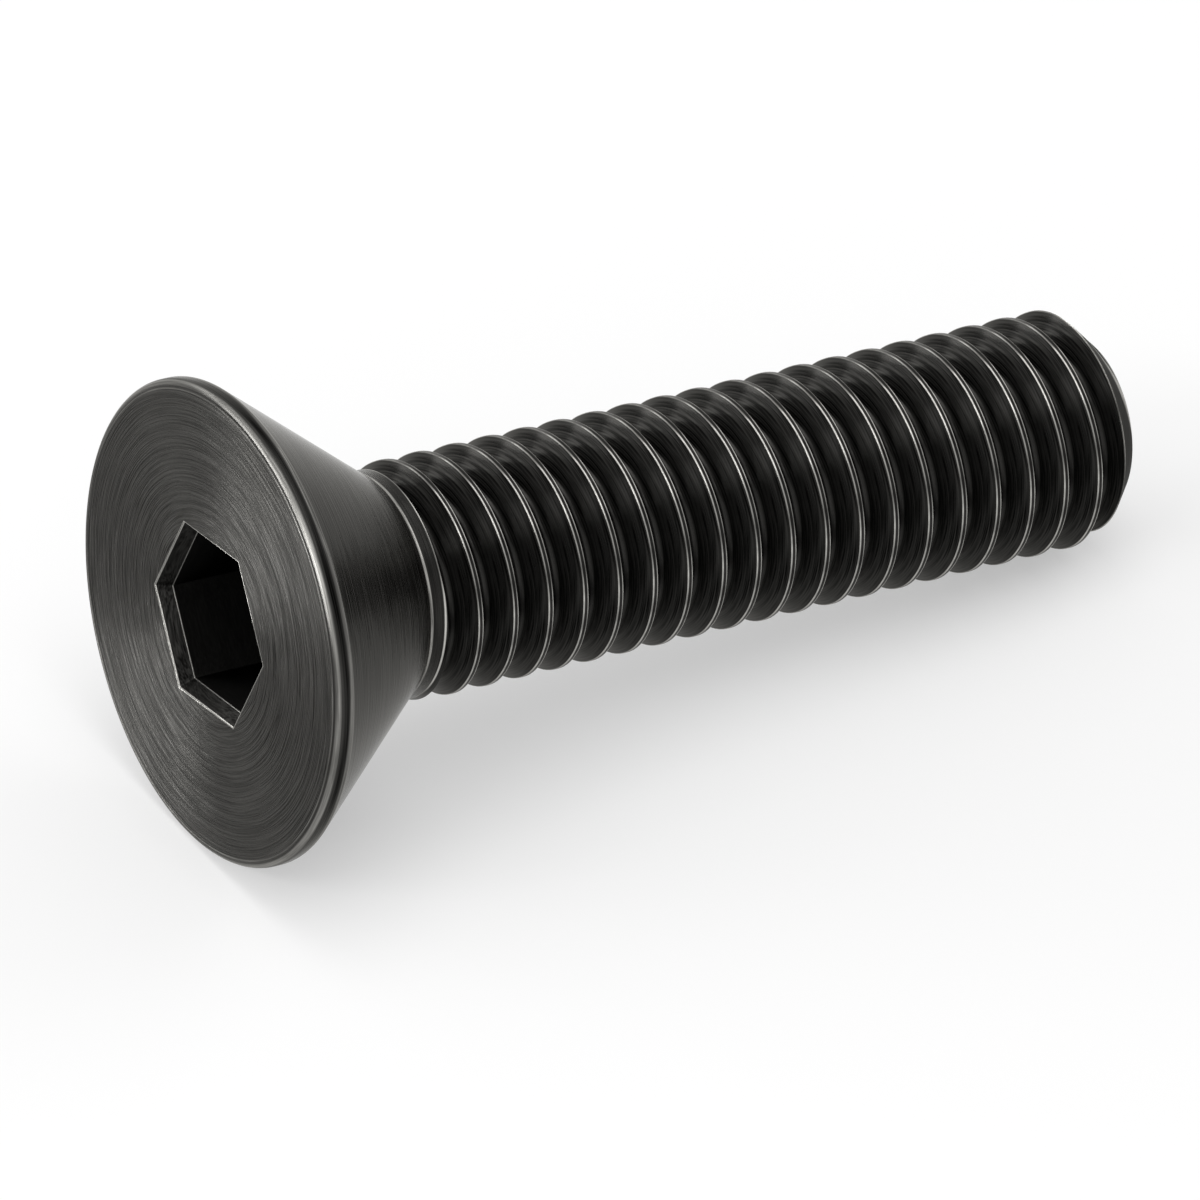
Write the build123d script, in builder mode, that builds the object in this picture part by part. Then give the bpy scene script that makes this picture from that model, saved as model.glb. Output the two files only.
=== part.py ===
from build123d import *
from math import asin, atan2, ceil, cos, degrees, hypot, radians, sin, tan
import os

# Countersunk head screw with a hexagon socket, M6 x 1, 25 long, in black steel.
# All sizes in millimetres. It is modelled upright, with the head face on Z = 0 and
# the tip above it, and is then laid down as it rests on a table: on its rim and on
# the end of its thread, tip towards +X.

# overall
overall_length = 25.4       # head face to tip
thread_diameter = 5.97      # over the crests
pitch = 1.0                 # coarse thread, right hand

# head
head_diameter = 12.15       # over the land
rim_height = 0.44           # head face to the start of the cone
rim_front_radius = 0.22     # rounding between face and land
rim_rear_radius = 0.10      # rounding between land and cone
cone_angle = 75.4           # included angle of the countersink
neck_diameter = 5.72        # plain neck under the head
under_head_radius = 0.15    # fillet between cone and neck

# socket
key_across_flats = 4.0      # hexagon that the key fits
mouth_across_flats = 4.45   # hexagon at the head face, before the lead-in
lead_in_depth = 0.36        # depth of the sloping lead-in
socket_depth = 2.7          # depth of the full hexagon
socket_corner_radius = 0.06 # in the six corners
bottom_diameter = 3.7       # conical bottom left by the punch
bottom_angle = 120.0        # included angle of that bottom
socket_turn = 21.8          # degrees from the underside to the nearest corner

# thread form
crest_flat = 0.125          # width of the flat on each crest
flank_angle = 60.0          # between the two flanks
root_radius = 0.144         # rounding in the root
neck_length = 0.40          # plain neck before the thread starts
run_out_length = 0.35       # thread fades in over this length
cutter_overshoot = 0.12     # how far the groove's cutter stands above the crests

# tip
tip_diameter = 4.40         # flat end
tip_chamfer_angle = 45.0    # slope of the end chamfer
last_crest_setback = 0.40   # from the last full crest on the underside to the chamfer

# values that follow from the sizes above
head_radius = head_diameter / 2
neck_radius = neck_diameter / 2
crest_radius = thread_diameter / 2
tip_radius = tip_diameter / 2
half_cone = radians(cone_angle / 2)
neck_start = rim_height + (head_radius - neck_radius) / tan(half_cone)
thread_start = neck_start + neck_length
chamfer_start = overall_length - (crest_radius - tip_radius) / tan(radians(tip_chamfer_angle))
last_crest = chamfer_start - last_crest_setback
bottom_depth = bottom_diameter / 2 / tan(radians(bottom_angle / 2))

# groove between two crests: a vee with a rounded root
half_flank = radians(flank_angle / 2)
vee_half_width = (pitch - crest_flat) / 2
vee_radius = crest_radius - vee_half_width / tan(half_flank)
root_bottom = vee_radius + root_radius * (1 / sin(half_flank) - 1)
cutter_radius = crest_radius + cutter_overshoot
shoulder_radius = crest_radius + cutter_overshoot / 10
shoulder_half_width = vee_half_width + cutter_overshoot / 10 * tan(half_flank)
turns = ceil((last_crest - thread_start) / pitch) + 3
groove_start = last_crest + (2.5 - turns) * pitch

# rest: the rear rounding of the rim and the last crest touch the table
rounding_center = rim_height - rim_rear_radius * tan(half_cone / 2)
contact_run = last_crest + crest_flat / 2 - rounding_center
contact_drop = head_radius - rim_rear_radius - crest_radius
rest_tilt = atan2(contact_drop, contact_run) + asin(rim_rear_radius / hypot(contact_run, contact_drop))

# place of the head face: its box is centred over the origin and its underside is at Z = 0
face_height = (
    rounding_center * sin(rest_tilt)
    + (head_radius - rim_rear_radius) * cos(rest_tilt)
    + rim_rear_radius
)
near_end = (
    rim_front_radius * cos(rest_tilt)
    - (head_radius - rim_front_radius) * sin(rest_tilt)
    - rim_front_radius
)
far_end = overall_length * cos(rest_tilt) + tip_radius * sin(rest_tilt)
rest_plane = Plane(
    origin=(-(near_end + far_end) / 2, 0, face_height),
    x_dir=(-sin(rest_tilt), 0, -cos(rest_tilt)),
    z_dir=(cos(rest_tilt), 0, -sin(rest_tilt)),
)

# cutter for the thread: one turn of the groove, repeated along the shank
with BuildPart() as groove:
    with BuildLine(Plane.XY.offset(groove_start)) as groove_path:
        Helix(pitch=pitch, height=pitch, radius=crest_radius)
    with BuildSketch(Plane(origin=(0, 0, groove_start), x_dir=(1, 0, 0), z_dir=(0, -1, 0))) as groove_profile:
        with BuildLine():
            Polyline(
                (vee_radius, 0),
                (shoulder_radius, shoulder_half_width),
                (cutter_radius, shoulder_half_width),
                (cutter_radius, -shoulder_half_width),
                (shoulder_radius, -shoulder_half_width),
                close=True,
            )
        make_face()
        fillet(groove_profile.vertices().sort_by(Axis.X)[0], root_radius)
    sweep(path=groove_path.wires()[0], is_frenet=True)

# head with its neck, and the core that fills the groove where the thread fades in
with BuildPart() as head:
    with BuildSketch(Plane.XZ):
        with BuildLine():
            Polyline(
                (0, 0),
                (head_radius, 0),
                (head_radius, rim_height),
                (neck_radius, neck_start),
                (neck_radius, thread_start),
                (root_bottom - root_radius, thread_start + run_out_length),
                (0, thread_start + run_out_length),
                close=True,
            )
        make_face()
    revolve(axis=Axis.Z)

    # round the three turned corners, from the neck forward
    for order, radius in ((2, under_head_radius), (1, rim_rear_radius), (0, rim_front_radius)):
        rings = head.edges().filter_by(GeomType.CIRCLE).sort_by(Axis.Z)
        fillet(rings[order], radius)

    # hexagon socket: sloping lead-in, the hexagon itself and the conical bottom
    for depth, flats in ((0, mouth_across_flats), (lead_in_depth, key_across_flats)):
        with BuildSketch(Plane.XY.offset(depth)) as outline:
            RegularPolygon(flats / 2, 6, major_radius=False, rotation=socket_turn)
            fillet(outline.vertices(), socket_corner_radius)
    loft(ruled=True, mode=Mode.SUBTRACT)
    with BuildSketch(Plane.XY.offset(lead_in_depth)) as key_outline:
        RegularPolygon(key_across_flats / 2, 6, major_radius=False, rotation=socket_turn)
        fillet(key_outline.vertices(), socket_corner_radius)
    extrude(amount=socket_depth - lead_in_depth, mode=Mode.SUBTRACT)
    with BuildSketch(Plane.XZ):
        with BuildLine():
            Polyline(
                (0, socket_depth - lead_in_depth),
                (bottom_diameter / 2, socket_depth - lead_in_depth),
                (bottom_diameter / 2, socket_depth),
                (0, socket_depth + bottom_depth),
                close=True,
            )
        make_face()
    revolve(axis=Axis.Z, mode=Mode.SUBTRACT)

# shank with its thread, joined to the head
with BuildPart() as upright:
    with BuildSketch(Plane.XZ):
        with BuildLine():
            Polyline(
                (0, neck_start),
                (neck_radius, neck_start),
                (neck_radius, thread_start),
                (crest_radius, thread_start + run_out_length),
                (crest_radius, chamfer_start),
                (tip_radius, overall_length),
                (0, overall_length),
                close=True,
            )
        make_face()
    revolve(axis=Axis.Z)
    for turn in range(turns):
        with Locations((0, 0, turn * pitch)):
            add(groove.part, mode=Mode.SUBTRACT)
    add(head.part)

# laid down
with BuildPart() as screw:
    add(upright.part.moved(rest_plane.location))

screw.part.label = "screw"
os.makedirs("parts", exist_ok=True)
export_step(screw.part, "parts/screw.step")
print("rest tilt in degrees:", round(degrees(rest_tilt), 3), "volume:", round(screw.part.volume, 2))
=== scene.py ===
import bpy
import bmesh
from math import asin, atan2, ceil, cos, hypot, pi, radians, sin, tan
from mathutils import Matrix, Vector


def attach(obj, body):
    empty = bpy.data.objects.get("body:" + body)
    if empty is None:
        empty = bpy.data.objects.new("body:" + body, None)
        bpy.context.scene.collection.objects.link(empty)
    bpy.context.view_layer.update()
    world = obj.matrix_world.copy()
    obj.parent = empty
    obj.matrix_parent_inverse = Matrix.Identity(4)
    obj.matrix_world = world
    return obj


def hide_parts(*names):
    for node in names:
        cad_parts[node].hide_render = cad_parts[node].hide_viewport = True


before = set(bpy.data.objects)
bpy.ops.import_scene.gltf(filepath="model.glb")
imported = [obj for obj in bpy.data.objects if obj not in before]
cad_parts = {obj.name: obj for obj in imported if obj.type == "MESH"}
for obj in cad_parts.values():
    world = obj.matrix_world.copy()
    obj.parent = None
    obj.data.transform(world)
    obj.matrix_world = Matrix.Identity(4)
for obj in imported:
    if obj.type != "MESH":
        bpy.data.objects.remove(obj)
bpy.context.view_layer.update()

millimetre = 0.001
print("frame loaded")


# the screw, in millimetres along its own axis (X from the head face to the tip)
screw = {
    "length": 25.4,
    "threadDiameter": 5.97,
    "pitch": 1.0,
    "headDiameter": 12.15,
    "rimHeight": 0.44,
    "rimFrontRadius": 0.22,
    "rimRearRadius": 0.10,
    "coneAngle": 75.4,
    "neckDiameter": 5.72,
    "underHeadRadius": 0.15,
    "crestFlat": 0.125,
    "crestRounding": 0.03,
    "rootRadius": 0.144,
    "flankAngle": 60.0,
    "neckLength": 0.40,
    "runOut": 0.35,
    "tipDiameter": 4.40,
    "tipRounding": 0.05,
    "lastCrestSetback": 0.40,
}

socket = {
    "keyFlats": 4.0,
    "mouthFlats": 4.45,
    "leadIn": 0.36,
    "depth": 2.7,
    "bottomDiameter": 3.7,
    "bottomAngle": 120.0,
    "turn": 21.8,          # degrees from the underside to the nearest corner
    "cornerRadius": 0.06,
    "edgeRadius": 0.025,   # the worn edge round the mouth
    # its steps in that radius, from clear of the face inwards: depth, and width added to the mouth's
    "edgeSteps": ((-0.8, 2.6), (0.15, 0.9), (0.9, -0.3)),
}

mesh = {
    "headSteps": 240,      # facets round the head
    "threadSteps": 96,     # facets round one turn of the thread
    "bottomSteps": 96,     # facets round the socket's conical bottom
    "smoothAngle": 28.0,
    "merge": 0.0004,       # vertices nearer than this, in millimetres, become one
    "mergeTurns": 0.0006,  # between two turns of the thread
    "mergeCut": 0.0002,    # after a boolean
    "mergeSocket": 0.0001,
    # straight pieces in each rounding
    "root": 8,
    "crest": 3,
    "tip": 3,
    "underHead": 4,
    "rimRear": 5,
    "rimFront": 8,
    "socketCorner": 4,
}

headRadius = screw["headDiameter"] / 2
neckRadius = screw["neckDiameter"] / 2
crestRadius = screw["threadDiameter"] / 2
tipRadius = screw["tipDiameter"] / 2
pitch = screw["pitch"]
halfCone = radians(screw["coneAngle"] / 2)
halfFlank = radians(screw["flankAngle"] / 2)
neckStart = screw["rimHeight"] + (headRadius - neckRadius) / tan(halfCone)
threadStart = neckStart + screw["neckLength"]
chamferStart = screw["length"] - (crestRadius - tipRadius)
lastCrest = chamferStart - screw["lastCrestSetback"]
veeRadius = crestRadius - (pitch - screw["crestFlat"]) / 2 / tan(halfFlank)
rootBottom = veeRadius + screw["rootRadius"] * (1 / sin(halfFlank) - 1)

# how the screw lies: on the rear rounding of its rim and on its last crest
rearRounding = screw["rimHeight"] - screw["rimRearRadius"] * tan(halfCone / 2)
contactRun = lastCrest + screw["crestFlat"] / 2 - rearRounding
contactDrop = headRadius - screw["rimRearRadius"] - crestRadius
tilt = atan2(contactDrop, contactRun) + asin(screw["rimRearRadius"] / hypot(contactRun, contactDrop))
faceHeight = (rearRounding * sin(tilt) + (headRadius - screw["rimRearRadius"]) * cos(tilt)
              + screw["rimRearRadius"])
nearEnd = (screw["rimFrontRadius"] * cos(tilt) - (headRadius - screw["rimFrontRadius"]) * sin(tilt)
           - screw["rimFrontRadius"])
farEnd = screw["length"] * cos(tilt) + tipRadius * sin(tilt)
faceCentre = Vector((-(nearEnd + farEnd) / 2, 0, faceHeight)) * millimetre
layDown = Matrix.Translation(faceCentre) @ Matrix.Rotation(tilt, 4, "Y") @ Matrix.Scale(millimetre, 4)


def wire(bm, points):
    # a chain of vertices in the XZ plane: along the axis, then out from it
    vertices = [bm.verts.new((along, 0, out)) for along, out in points]
    for first, second in zip(vertices, vertices[1:]):
        bm.edges.new((first, second))
    return vertices


def roundCorner(bm, vertex, radius, segments):
    # rounds one corner of a wire; the bevel's offset is the length of tangent
    one, two = (edge.other_vert(vertex).co - vertex.co for edge in vertex.link_edges)
    tangent = radius / tan(one.angle(two) / 2)
    bmesh.ops.bevel(bm, geom=[vertex], offset=tangent, offset_type="OFFSET", segments=segments,
                    profile=0.5, affect="VERTICES", material=-1)


def closeUp(bm, distance):
    bmesh.ops.remove_doubles(bm, verts=bm.verts, dist=distance)
    bmesh.ops.recalc_face_normals(bm, faces=bm.faces)


def turned(name, points, rounds, steps):
    # a turned solid: a wire with its corners rounded, spun all the way round, its ends filled
    bm = bmesh.new()
    vertices = wire(bm, points)
    for index, radius, segments in rounds:
        roundCorner(bm, vertices[index], radius, segments)
    bmesh.ops.spin(bm, geom=bm.verts[:] + bm.edges[:], cent=(0, 0, 0), axis=(1, 0, 0),
                   angle=2 * pi, steps=steps, use_merge=True)
    bmesh.ops.remove_doubles(bm, verts=bm.verts, dist=mesh["merge"])
    bmesh.ops.holes_fill(bm, edges=bm.edges, sides=0)
    closeUp(bm, mesh["merge"])
    return toObject(name, bm)


def toObject(name, bm):
    data = bpy.data.meshes.new(name)
    bm.to_mesh(data)
    bm.free()
    item = bpy.data.objects.new(name, data)
    bpy.context.scene.collection.objects.link(item)
    return item


def combine(target, tool, operation):
    # applies one boolean and removes the tool
    cut = target.modifiers.new("cut", "BOOLEAN")
    cut.operation = operation
    cut.solver = "EXACT"
    cut.object = tool
    bpy.context.view_layer.update()
    graph = bpy.context.evaluated_depsgraph_get()
    bm = bmesh.new()
    bm.from_mesh(target.evaluated_get(graph).data)
    target.modifiers.clear()
    bmesh.ops.remove_doubles(bm, verts=bm.verts, dist=mesh["mergeCut"])
    bmesh.ops.dissolve_degenerate(bm, edges=bm.edges, dist=mesh["mergeCut"])
    bm.to_mesh(target.data)
    bm.free()
    bpy.data.objects.remove(tool)


def makeThread():
    # one pitch of the thread from crest to crest, swept helically for one turn and repeated
    bm = bmesh.new()
    half = screw["crestFlat"] / 2
    points = [(0, crestRadius), (half, crestRadius), (pitch / 2, veeRadius),
              (pitch - half, crestRadius), (pitch, crestRadius)]
    vertices = wire(bm, points)
    roundCorner(bm, vertices[2], screw["rootRadius"], mesh["root"])
    roundCorner(bm, vertices[1], screw["crestRounding"], mesh["crest"])
    roundCorner(bm, vertices[3], screw["crestRounding"], mesh["crest"])
    spare = 2              # turns that run on past each end, to be trimmed off
    turns = ceil((lastCrest - threadStart) / pitch) + 2 * spare
    start = lastCrest + (spare - turns) * pitch
    bmesh.ops.rotate(bm, verts=bm.verts, cent=(0, 0, 0), matrix=Matrix.Rotation(pi, 3, "X"))
    bmesh.ops.translate(bm, verts=bm.verts, vec=(start, 0, 0))
    steps = mesh["threadSteps"]
    bmesh.ops.spin(bm, geom=bm.verts[:] + bm.edges[:], cent=(0, 0, 0), axis=(1, 0, 0),
                   dvec=(pitch / steps, 0, 0), angle=2 * pi, steps=steps)
    oneTurn = bm.verts[:] + bm.edges[:] + bm.faces[:]
    for turn in range(1, turns):
        copy = bmesh.ops.duplicate(bm, geom=oneTurn)
        moved = [item for item in copy["geom"] if isinstance(item, bmesh.types.BMVert)]
        bmesh.ops.translate(bm, verts=moved, vec=(turn * pitch, 0, 0))
    bmesh.ops.remove_doubles(bm, verts=bm.verts, dist=mesh["mergeTurns"])
    middle = start + (turns + 1) * pitch / 2
    for side in (-1, 1):   # a fan to the axis closes each end
        rim = [edge for edge in bm.edges
               if edge.is_boundary and (edge.verts[0].co.x - middle) * side > 0]
        level = sum(edge.verts[0].co.x for edge in rim) / len(rim)
        fan = bmesh.ops.extrude_edge_only(bm, edges=rim)
        tip = [item for item in fan["geom"] if isinstance(item, bmesh.types.BMVert)]
        bmesh.ops.pointmerge(bm, verts=tip, merge_co=(level, 0, 0))
    closeUp(bm, mesh["merge"])
    print("thread turns", turns, "open edges", sum(edge.is_boundary for edge in bm.edges))
    return toObject("threadForm", bm)


def makeScrew():
    body = makeThread()
    slope = (crestRadius - neckRadius) / screw["runOut"]
    inside = 0.3           # the sleeve starts this far inside the neck
    outside = 0.02         # and stands this far off the crests
    under = 0.004          # the two surfaces meet just past the neck's edge
    core = 1.0             # its ends are filled from this radius inwards
    sleeve = turned("sleeve", [
        (threadStart - inside, core),
        (threadStart - inside, neckRadius - inside * slope - under),
        (threadStart + screw["runOut"] + outside / slope, crestRadius + outside - under),
        (chamferStart - outside, crestRadius + outside),
        (screw["length"], tipRadius),
        (screw["length"], core)], [(4, screw["tipRounding"], mesh["tip"])], mesh["threadSteps"])
    combine(body, sleeve, "INTERSECT")
    blank = turned("blank", [
        (0, headRadius - 2 * screw["rimFrontRadius"]),
        (0, headRadius),
        (screw["rimHeight"], headRadius),
        (neckStart, neckRadius),
        (threadStart, neckRadius),
        (threadStart + screw["runOut"], rootBottom - screw["rootRadius"])],
        [(3, screw["underHeadRadius"], mesh["underHead"]), (2, screw["rimRearRadius"], mesh["rimRear"]),
         (1, screw["rimFrontRadius"], mesh["rimFront"])],
        mesh["headSteps"])
    combine(body, blank, "UNION")
    combine(body, makeSocketTool(), "DIFFERENCE")
    slope = tan(radians(socket["bottomAngle"] / 2))
    above = 0.05           # the bottom's cone is cut from this far above the socket's floor
    bottom = turned("bottom", [
        (socket["depth"] - above, socket["bottomDiameter"] / 2 + above * slope),
        (socket["depth"] + socket["bottomDiameter"] / 2 / slope, 0)], [], mesh["bottomSteps"])
    combine(body, bottom, "DIFFERENCE")
    return body


def makeSocketTool():
    # hexagon in steps, as depth and width: clear of the face, worn edge, lead-in, key hexagon
    worn = socket["edgeRadius"]
    clear = 0.5            # the tool stands this far out of the face
    steps = [(depth * worn, socket["mouthFlats"] + width * worn) for depth, width in socket["edgeSteps"]]
    sections = [(-clear, steps[0][1]), *steps,
                (socket["leadIn"], socket["keyFlats"]), (socket["depth"], socket["keyFlats"])]
    bm = bmesh.new()
    toCorner = 1 / (2 * cos(pi / 6))
    start, flats = sections[0]
    bmesh.ops.create_circle(bm, segments=6, radius=flats * toCorner)
    bmesh.ops.bevel(bm, geom=bm.verts[:], offset=socket["cornerRadius"] * tan(pi / 6),
                    offset_type="OFFSET", segments=mesh["socketCorner"], profile=0.5,
                    affect="VERTICES", material=-1)
    # the circle lies flat with a corner on +Y: stand it across the axis, that corner near the underside
    bmesh.ops.rotate(bm, verts=bm.verts, cent=(0, 0, 0), matrix=Matrix.Rotation(pi / 2, 3, "Y"))
    bmesh.ops.rotate(bm, verts=bm.verts, cent=(0, 0, 0),
                     matrix=Matrix.Rotation(radians(socket["turn"] - 90), 3, "X"))
    bmesh.ops.translate(bm, verts=bm.verts, vec=(start, 0, 0))
    edges = bm.edges[:]
    for along, across in sections[1:]:
        grown = bmesh.ops.extrude_edge_only(bm, edges=edges)
        ring = [item for item in grown["geom"] if isinstance(item, bmesh.types.BMVert)]
        edges = [item for item in grown["geom"] if isinstance(item, bmesh.types.BMEdge)]
        bmesh.ops.translate(bm, verts=ring, vec=(along - start, 0, 0))
        bmesh.ops.scale(bm, verts=ring, vec=(1, across / flats, across / flats))
        start, flats = along, across
    bmesh.ops.holes_fill(bm, edges=bm.edges, sides=0)
    closeUp(bm, mesh["mergeSocket"])
    return toObject("socketTool", bm)


def newGroup(name, inputs, outputs):
    group = bpy.data.node_groups.new(name, "ShaderNodeTree")
    for label, kind, value in inputs:
        group.interface.new_socket(label, in_out="INPUT", socket_type=kind).default_value = value
    for label, kind in outputs:
        group.interface.new_socket(label, in_out="OUTPUT", socket_type=kind)
    return group, group.nodes.new("NodeGroupInput"), group.nodes.new("NodeGroupOutput")


def addNode(tree, kind, links=None, **settings):
    # a node with its settings; links maps an input's name or number to a socket or a value
    item = tree.nodes.new(kind)
    for label, value in settings.items():
        setattr(item, label, value)
    for label, value in (links or {}).items():
        if isinstance(value, bpy.types.NodeSocket):
            tree.links.new(value, item.inputs[label])
        else:
            item.inputs[label].default_value = value
    return item


def maths(tree, operation, *values):
    item = addNode(tree, "ShaderNodeMath", dict(enumerate(values)), operation=operation)
    return item.outputs[0]


def spread(tree, value, low, high, toLow=0.0, toHigh=1.0, smooth=False):
    item = addNode(tree, "ShaderNodeMapRange", {"Value": value, "From Min": low, "From Max": high,
                                                "To Min": toLow, "To Max": toHigh},
                   interpolation_type="SMOOTHSTEP" if smooth else "LINEAR")
    return item.outputs[0]


def mixColours(tree, factor, first, second):
    item = addNode(tree, "ShaderNodeMix", {0: factor, 6: first, 7: second}, data_type="RGBA")
    return item.outputs[2]


# a point's place on the screw: along the axis, out from it, and the two across it
def makeScrewPlace():
    group, _, result = newGroup("screwPlace", [], [
        ("Along", "NodeSocketFloat"), ("Radius", "NodeSocketFloat"), ("Side", "NodeSocketFloat"),
        ("Up", "NodeSocketFloat"), ("Point", "NodeSocketVector")])
    place = addNode(group, "ShaderNodeTexCoord")
    local = addNode(group, "ShaderNodeMapping", {"Vector": place.outputs["Object"], "Location": faceCentre,
                    "Rotation": (0, tilt, 0), "Scale": (millimetre,) * 3}, vector_type="TEXTURE")
    parts = addNode(group, "ShaderNodeSeparateXYZ", {0: local.outputs[0]})
    along, side, up = parts.outputs
    radius = maths(group, "SQRT", maths(group, "ADD", maths(group, "MULTIPLY", side, side),
                                        maths(group, "MULTIPLY", up, up)))
    for label, value in (("Along", along), ("Radius", radius), ("Side", side), ("Up", up),
                         ("Point", local.outputs[0])):
        group.links.new(value, result.inputs[label])
    return group


marks = {
    "swayScale": 3.5,      # the noise that makes the rings stray
    "swayDetail": 5.0,
    "swayStretch": 0.4,    # how fast it changes from ring to ring
    "roughness": 0.6,
}


# marks left by turning: fine rings round the screw's axis, each only some way round
def makeTurnedMarks():
    group, given, result = newGroup("turnedMarks", [
        ("Spacing", "NodeSocketFloat", 0.08),
        ("Breaks", "NodeSocketFloat", 3.0),
        ("Waver", "NodeSocketFloat", 0.03),
        ("Detail", "NodeSocketFloat", 2.0)],
        [("Lines", "NodeSocketFloat")])
    place = addNode(group, "ShaderNodeGroup", node_tree=screwPlace)
    radius, along = place.outputs["Radius"], place.outputs["Along"]
    aroundY = maths(group, "DIVIDE", place.outputs["Side"], radius)
    aroundZ = maths(group, "DIVIDE", place.outputs["Up"], radius)
    around = addNode(group, "ShaderNodeCombineXYZ", {
        0: maths(group, "MULTIPLY", radius, marks["swayStretch"]), 1: aroundY, 2: aroundZ})
    sway = addNode(group, "ShaderNodeTexNoise", {
        "Vector": around.outputs[0], "Scale": marks["swayScale"], "Detail": marks["swayDetail"]})
    swayed = maths(group, "ADD", radius, maths(group, "MULTIPLY",
                   maths(group, "SUBTRACT", sway.outputs[0], 0.5), given.outputs["Waver"]))
    # rings are counted by radius, and along the axis too up to the thread, so that they follow its helix
    plain = maths(group, "MINIMUM", along, threadStart)
    line = addNode(group, "ShaderNodeCombineXYZ", {
        0: maths(group, "DIVIDE", swayed, given.outputs["Spacing"]),
        1: maths(group, "MULTIPLY", aroundY, given.outputs["Breaks"]),
        2: maths(group, "MULTIPLY", aroundZ, given.outputs["Breaks"])})
    noise = addNode(group, "ShaderNodeTexNoise", {"Vector": line.outputs[0],
                    "W": maths(group, "DIVIDE", plain, given.outputs["Spacing"]), "Scale": 1.0,
                    "Detail": given.outputs["Detail"], "Roughness": marks["roughness"]},
                    noise_dimensions="4D")
    group.links.new(noise.outputs[0], result.inputs["Lines"])
    return group


# lighter edges: bare steel where the black rubs off, and painted highlights along edges and junctions
wearAndHighlight = {
    # ring edges: along, out, fully worn and lit within, untouched beyond, how much
    "rings": [
        (0, headRadius - screw["rimFrontRadius"], 0.006, 0.03, 0.25),   # face meets the front rounding
        (0, headRadius, 0.09, 0.15, 0.45),                      # front of the rim
        (screw["rimHeight"], headRadius, 0.05, 0.11, 0.30),     # rear of the rim
        (neckStart, neckRadius, 0.03, 0.07, 0.8),               # cone meets neck: a painted highlight line in the hollow fillet
        (threadStart, neckRadius, 0.012, 0.040, 1.0),           # neck meets thread: worn edge and painted highlight line
        (chamferStart, crestRadius, 0.01, 0.04, 0.4),
        (screw["length"], tipRadius, 0.01, 0.05, 0.4)],
    # the other edges: fully worn and lit within, untouched beyond, how much
    "crest": (0.010, 0.032, 1.0),
    "chamfer": (0.012, 0.040, 0.8),
    "mouth": (0.016, 0.040, 0.7),
    "leadIn": (0.005, 0.025, 0.4),
    # streaks that break the wear and the painted highlights up
    "streaks": {"Spacing": 0.07, "Breaks": 2.5, "Waver": 0.0, "Detail": 3.0},
    "streakRange": (0.38, 0.62),    # least and most wear and highlight come at these values of the streaks
    "leastWearAndHighlight": 0.25,
}


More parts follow.
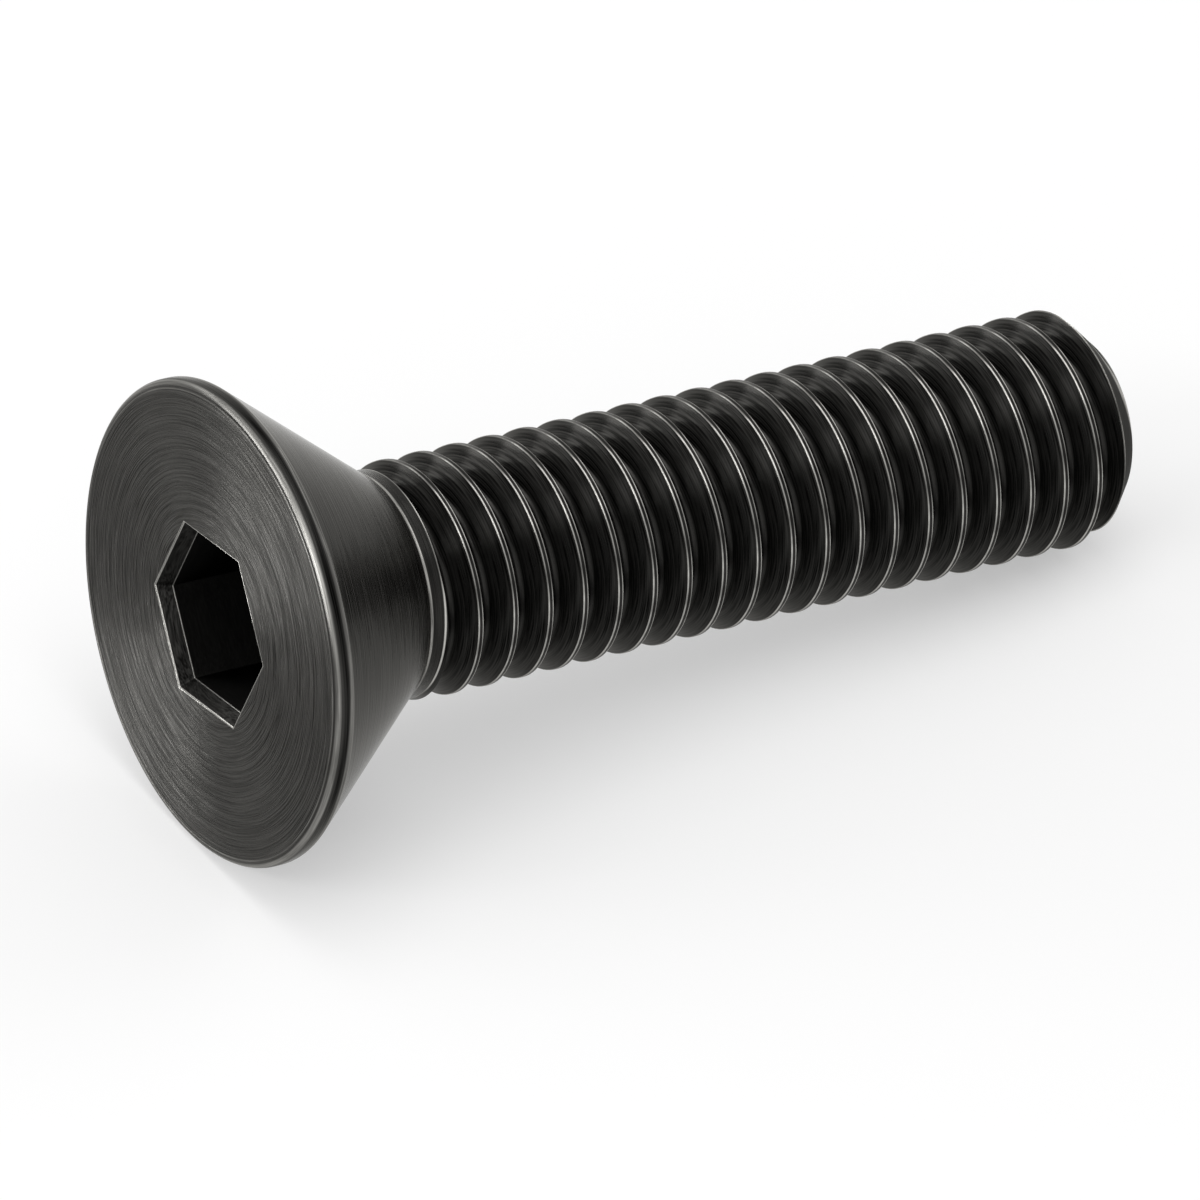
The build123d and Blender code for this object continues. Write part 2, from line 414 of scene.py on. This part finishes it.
# how far the black has rubbed off, only at the edges; the same lighter colour also paints highlights along
# edges and junctions
def makeWornAndHighlitEdges():
    group, _, result = newGroup("wornAndHighlitEdges", [], [("WornAndHighlit", "NodeSocketFloat")])
    place = addNode(group, "ShaderNodeGroup", node_tree=screwPlace)
    along, radius, side, up = (place.outputs[label] for label in ("Along", "Radius", "Side", "Up"))

    def apart(one, two):
        return maths(group, "ABSOLUTE", maths(group, "SUBTRACT", one, two))

    def nearEdge(first, second, near, reach, amount):
        distance = maths(group, "SQRT", maths(group, "ADD", maths(group, "POWER", first, 2.0),
                                              maths(group, "POWER", second, 2.0)))
        return spread(group, distance, reach, near, 0.0, amount, smooth=True)

    worn = []
    for start, out, near, reach, amount in wearAndHighlight["rings"]:
        worn.append(nearEdge(apart(along, start), apart(radius, out), near, reach, amount))
    # the crest is a helix: its place along the axis depends on the angle from the underside
    angle = maths(group, "ARCTAN2", side, maths(group, "MULTIPLY", up, -1.0))
    pitches = maths(group, "DIVIDE", maths(group, "SUBTRACT", along, lastCrest), pitch)
    turns = maths(group, "SUBTRACT", pitches, maths(group, "DIVIDE", angle, 2 * pi))
    offset = maths(group, "MULTIPLY", maths(group, "WRAP", turns, 0.5, -0.5), pitch)
    fromCrest = maths(group, "ABSOLUTE", offset)
    crest = nearEdge(apart(fromCrest, screw["crestFlat"] / 2), apart(radius, crestRadius), *wearAndHighlight["crest"])
    worn.append(maths(group, "MULTIPLY", crest, maths(group, "GREATER_THAN", along, neckStart)))
    # where a flank runs out through the end chamfer: on the chamfer's cone and on the flank at once
    offChamfer = apart(maths(group, "ADD", along, radius), screw["length"] + tipRadius)
    depth = maths(group, "SUBTRACT", crestRadius, radius)
    flankDepth = maths(group, "DIVIDE", maths(group, "SUBTRACT", fromCrest, screw["crestFlat"] / 2),
                       tan(halfFlank))
    worn.append(nearEdge(maths(group, "MULTIPLY", offChamfer, cos(pi / 4)),
                         maths(group, "MULTIPLY", apart(depth, flankDepth), sin(halfFlank)),
                         *wearAndHighlight["chamfer"]))
    most = worn[0]
    for amount in worn[1:]:
        most = maths(group, "MAXIMUM", most, amount)
    # it rubs off, and the painted highlights break up, in streaks that run round the screw
    streaks = addNode(group, "ShaderNodeGroup", wearAndHighlight["streaks"], node_tree=turnedMarks)
    most = maths(group, "MULTIPLY", most,
                 spread(group, streaks.outputs[0], *wearAndHighlight["streakRange"], wearAndHighlight["leastWearAndHighlight"], 1.0))
    # the socket's edges are worn and given a painted highlight evenly: the distance from its axis across
    # to the nearest pair of flats
    across = None
    for flat in range(3):
        facing = radians(socket["turn"] + 30 + 60 * flat)
        reachOut = apart(maths(group, "MULTIPLY", side, sin(facing)),
                         maths(group, "MULTIPLY", up, cos(facing)))
        across = reachOut if across is None else maths(group, "MAXIMUM", across, reachOut)
    for depth, flats, name in ((0, socket["mouthFlats"], "mouth"),
                               (socket["leadIn"], socket["keyFlats"], "leadIn")):
        edge = nearEdge(apart(along, depth), apart(across, flats / 2), *wearAndHighlight[name])
        most = maths(group, "MAXIMUM", most, edge)
    group.links.new(most, result.inputs["WornAndHighlit"])
    return group


blackSteel = {
    # colour, roughness, depth of the lines, and how much lighter and darker they are, on each part; the
    # darker colours on the land, cone and tip are painted shade, for how dark those parts look under these
    # lamps
    "face": (0.0285, 0.37, 3.6, 0.5),
    "rounding": (0.040, 0.34, 0.15, 0.35),
    "land": (0.014, 0.22, 0.20, 0.8),
    "cone": (0.0165, 0.115, 0.22, 0.6),
    "thread": (0.021, 0.30, 0.025, 0.8),
    "tip": (0.014, 0.50, 0.10, 0.4),
    # the lead-in and key: colours near black, painted shade in the socket's recess
    "leadIn": (0.011, 0.42, 0.3, 0.7),
    "key": (0.012, 0.42, 0.1, 0.2),
    # bare steel at worn edges, and also the colour of the painted highlights
    "wornAndHighlightColour": (0.55, 0.54, 0.51, 1),
    "anisotropy": 0.9,
    "tint": (1.0, 0.98, 0.925),
    "edgeTint": (0.87, 0.862, 0.84, 1),
    "lineDepth": 0.030,     # on the face, in millimetres
    "headSpacing": 0.044,
    "threadSpacing": 0.03,
    "lineBreaks": 2.0,
    "lineDetail": 1.0,
    "lineRange": (0.35, 0.65),      # darkest and lightest come at these values of the lines
    "bandSpacing": 0.35,
    "bandBreaks": 2.0,
    "bandDetail": 3.0,
    "bandRange": (0.3, 0.7),
    "bandShade": 0.3,       # of what the lines have
    "bandRoughness": 0.03,
    "headWaver": 0.05,      # how far a line strays, in millimetres
    "threadWaver": 0.004,
    # each part's finish fades in between these places along the axis; the tip's, off the end chamfer
    "starts": {
        "rounding": (0.002, 0.02),
        "land": (0.16, 0.22),
        "cone": (0.36, 0.45),
        "thread": (neckStart, threadStart),
        "tip": (0.0, 0.01)},
    "keyFade": 0.02,        # the lead-in's finish fades into the key hexagon's over this depth
    "socketMargin": 0.05,   # the socket's finish reaches this far past the corners of its mouth
    "faceMargin": 0.01,     # and starts this far under the face
    "chamferMargin": 0.012, # the chamfer's finish takes in surfaces this far under it
}


def makeBlackSteel():
    material = bpy.data.materials.new("blackSteel")
    material.use_nodes = True
    tree = material.node_tree
    shader = tree.nodes["Principled BSDF"]
    place = addNode(tree, "ShaderNodeGroup", node_tree=screwPlace)
    along = place.outputs["Along"]

    # on the end chamfer, along and radius add up to a fixed length
    toTip = maths(tree, "SUBTRACT", maths(tree, "ADD", along, place.outputs["Radius"]),
                  screw["length"] + tipRadius - blackSteel["chamferMargin"])
    mouthCorner = socket["mouthFlats"] / 2 / cos(pi / 6)
    withinMouth = maths(tree, "LESS_THAN", place.outputs["Radius"],
                        mouthCorner + blackSteel["socketMargin"])
    underFace = maths(tree, "MULTIPLY", maths(tree, "LESS_THAN", along, neckStart),
                      maths(tree, "GREATER_THAN", along, blackSteel["faceMargin"]))
    inSocket = maths(tree, "MULTIPLY", withinMouth, underFace)

    def byPart(index):
        # the value of each part of the surface in turn, from the face to the tip
        value = before = blackSteel["face"][index]
        for name, (start, end) in blackSteel["starts"].items():
            step = spread(tree, toTip if name == "tip" else along, start, end, 0.0,
                          blackSteel[name][index] - before)
            value = maths(tree, "ADD", value, step)
            before = blackSteel[name][index]
        # inside the socket each value goes over to the lead-in's and key's; for the colour these are near
        # black, painted shade in the recess
        leadIn, key = blackSteel["leadIn"][index], blackSteel["key"][index]
        within = spread(tree, along, socket["leadIn"], socket["leadIn"] + blackSteel["keyFade"],
                        leadIn, key)
        step = maths(tree, "MULTIPLY", inSocket, maths(tree, "SUBTRACT", within, value))
        return maths(tree, "ADD", value, step)

    spacing = spread(tree, along, neckStart, threadStart,
                     blackSteel["headSpacing"], blackSteel["threadSpacing"])
    waver = spread(tree, along, neckStart, threadStart,
                   blackSteel["headWaver"], blackSteel["threadWaver"])
    lines = addNode(tree, "ShaderNodeGroup", {
        "Spacing": spacing, "Waver": waver, "Breaks": blackSteel["lineBreaks"],
        "Detail": blackSteel["lineDetail"]},
        node_tree=turnedMarks)
    bands = addNode(tree, "ShaderNodeGroup", {
        "Spacing": blackSteel["bandSpacing"], "Breaks": blackSteel["bandBreaks"],
        "Detail": blackSteel["bandDetail"]},
        node_tree=turnedMarks)
    worn = addNode(tree, "ShaderNodeGroup", node_tree=wornAndHighlitEdges)
    shade = maths(tree, "ADD", spread(tree, lines.outputs[0], *blackSteel["lineRange"], -1.0, 1.0),
                  spread(tree, bands.outputs[0], *blackSteel["bandRange"],
                         -blackSteel["bandShade"], blackSteel["bandShade"]))
    shade = maths(tree, "ADD", 1.0, maths(tree, "MULTIPLY", shade, byPart(3)))
    level = maths(tree, "MULTIPLY", byPart(0), shade)
    black = addNode(tree, "ShaderNodeCombineColor", {
        index: maths(tree, "MULTIPLY", level, share) for index, share in enumerate(blackSteel["tint"])})
    # the edges are painted lighter: bare steel where worn, and painted highlights
    tree.links.new(mixColours(tree, worn.outputs[0], black.outputs[0], blackSteel["wornAndHighlightColour"]),
                   shader.inputs["Base Color"])
    shader.inputs["Metallic"].default_value = 1.0
    shader.inputs["Specular Tint"].default_value = blackSteel["edgeTint"]
    shader.inputs["Anisotropic"].default_value = blackSteel["anisotropy"]
    shader.inputs["Anisotropic Rotation"].default_value = 0.25     # shine spreads across the grain
    unevenness = spread(tree, bands.outputs[0], *blackSteel["bandRange"],
                        -blackSteel["bandRoughness"], blackSteel["bandRoughness"])
    tree.links.new(maths(tree, "ADD", byPart(1), unevenness), shader.inputs["Roughness"])
    bump = addNode(tree, "ShaderNodeBump", {
        "Height": maths(tree, "MULTIPLY", lines.outputs[0], byPart(2)),
        "Strength": 1.0, "Distance": blackSteel["lineDepth"] * millimetre})
    tree.links.new(bump.outputs[0], shader.inputs["Normal"])
    # the grain runs round the screw's axis
    centre = addNode(tree, "ShaderNodeTexCoord")
    arm = addNode(tree, "ShaderNodeVectorMath", {0: centre.outputs["Object"], 1: faceCentre},
                  operation="SUBTRACT")
    grain = addNode(tree, "ShaderNodeVectorMath", {0: (cos(tilt), 0, -sin(tilt)), 1: arm.outputs[0]},
                    operation="CROSS_PRODUCT")
    tree.links.new(grain.outputs[0], shader.inputs["Tangent"])
    return material


screwPlace = makeScrewPlace()
turnedMarks = makeTurnedMarks()
wornAndHighlitEdges = makeWornAndHighlitEdges()

screwPiece = makeScrew()
screwPiece.name = "countersunkScrew"
screwPiece.data.transform(layDown)
screwPiece.data.materials.clear()
screwPiece.data.materials.append(makeBlackSteel())
screwPiece.data.shade_smooth()
screwPiece.data.set_sharp_from_angle(angle=radians(mesh["smoothAngle"]))
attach(screwPiece, "root")
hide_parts("screw")
print("screw made", len(screwPiece.data.polygons), "faces")


studio = {
    "floorSize": 1.6,
    "floorColour": (0.58, 0.58, 0.58, 1),
    "floorGlow": 0.39,
    "worldStrength": 0.60,
    # lamps: place and aim in metres, size, and power in watts
    "lamps": {
        "overhead": ((0.00, -0.06, 0.40), (0, 0, 0), (0.15, 0.40), 0.42),
        "low": ((-0.40, 0.17, 0.022), (-0.012, 0, 0.006), (0.34, 0.03), 2.5),
        "flankStrip": ((-0.31, 0.224, 0.121), (0, 0, 0), (0.36, 0.04), 0.34),
        "headStrip": ((-0.30, -0.08, 0.26), (0, 0, 0), (0.22, 0.04), 0.22),
        "tipStrip": ((0.26, 0.00, 0.22), (0, 0, 0), (0.30, 0.10), 0.12),
    },
}


def seenOrMirrored(tree):
    # 1 where the camera looks straight at it, or sees it in metal; 0 where it only lights the screw
    path = addNode(tree, "ShaderNodeLightPath")
    mirrored = maths(tree, "MAXIMUM", path.outputs["Is Glossy Ray"], path.outputs["Is Transmission Ray"])
    return maths(tree, "MAXIMUM", path.outputs["Is Camera Ray"], mirrored)


def makeFloor():
    bm = bmesh.new()
    bmesh.ops.create_grid(bm, x_segments=1, y_segments=1, size=studio["floorSize"] / 2)
    floor = toObject("floor", bm)
    material = bpy.data.materials.new("floor")
    material.use_nodes = True
    tree = material.node_tree
    tree.nodes.remove(tree.nodes["Principled BSDF"])
    matt = addNode(tree, "ShaderNodeBsdfDiffuse", {"Color": studio["floorColour"]})
    glow = addNode(tree, "ShaderNodeEmission", {
        "Strength": maths(tree, "MULTIPLY", seenOrMirrored(tree), studio["floorGlow"])})
    both = addNode(tree, "ShaderNodeAddShader", {0: matt.outputs[0], 1: glow.outputs[0]})
    tree.links.new(both.outputs[0], tree.nodes["Material Output"].inputs["Surface"])
    floor.data.materials.append(material)


def makeWorld():
    world = bpy.data.worlds.new("studio")
    bpy.context.scene.world = world
    world.use_nodes = True
    tree = world.node_tree
    sky = tree.nodes["Background"]
    sky.inputs["Color"].default_value = (1, 1, 1, 1)
    strength = spread(tree, seenOrMirrored(tree), 0.0, 1.0, studio["worldStrength"], 1.0)
    tree.links.new(strength, sky.inputs["Strength"])


def makeLamp(name, place, aim, size, power):
    lamp = bpy.data.lights.new(name, "AREA")
    lamp.shape = "RECTANGLE"
    lamp.size, lamp.size_y = size
    lamp.energy = power
    item = bpy.data.objects.new(name, lamp)
    bpy.context.scene.collection.objects.link(item)
    item.visible_camera = False
    item.location = place
    item.rotation_euler = (Vector(aim) - Vector(place)).to_track_quat("-Z", "Y").to_euler()


def makeCamera():
    # angles in degrees, lengths in millimetres; the point seen is at seenAt in a picture of frame pixels
    lens = {"elevation": 36.29, "azimuth": -121.03, "distance": 440.4, "pixelsPerMm": 40.615,
            "seen": (0, 0, 4.0), "seenAt": (644.27, 539.42), "frame": 1200, "sensor": 36, "nearest": 10}
    rise, turn = radians(lens["elevation"]), radians(lens["azimuth"])
    back = Vector((cos(rise) * cos(turn), cos(rise) * sin(turn), sin(rise)))
    right = Vector((-sin(turn), cos(turn), 0))
    up = back.cross(right)
    half = lens["frame"] / 2
    centre = (Vector(lens["seen"]) - right * (lens["seenAt"][0] - half) / lens["pixelsPerMm"]
              + up * (lens["seenAt"][1] - half) / lens["pixelsPerMm"])
    camera = bpy.data.cameras.new("camera")
    camera.sensor_width = lens["sensor"]
    camera.lens = lens["sensor"] * lens["pixelsPerMm"] * lens["distance"] / lens["frame"]
    camera.clip_start = lens["nearest"] * millimetre
    item = bpy.data.objects.new("camera", camera)
    bpy.context.scene.collection.objects.link(item)
    item.matrix_world = Matrix.Translation((centre + back * lens["distance"]) * millimetre) @ Matrix(
        (right, up, back)).transposed().to_4x4()
    bpy.context.scene.camera = item


makeFloor()
makeWorld()
for name, (place, aim, size, power) in studio["lamps"].items():
    makeLamp(name, place, aim, size, power)
makeCamera()
bpy.context.scene.view_settings.view_transform = "Standard"
print("studio made")
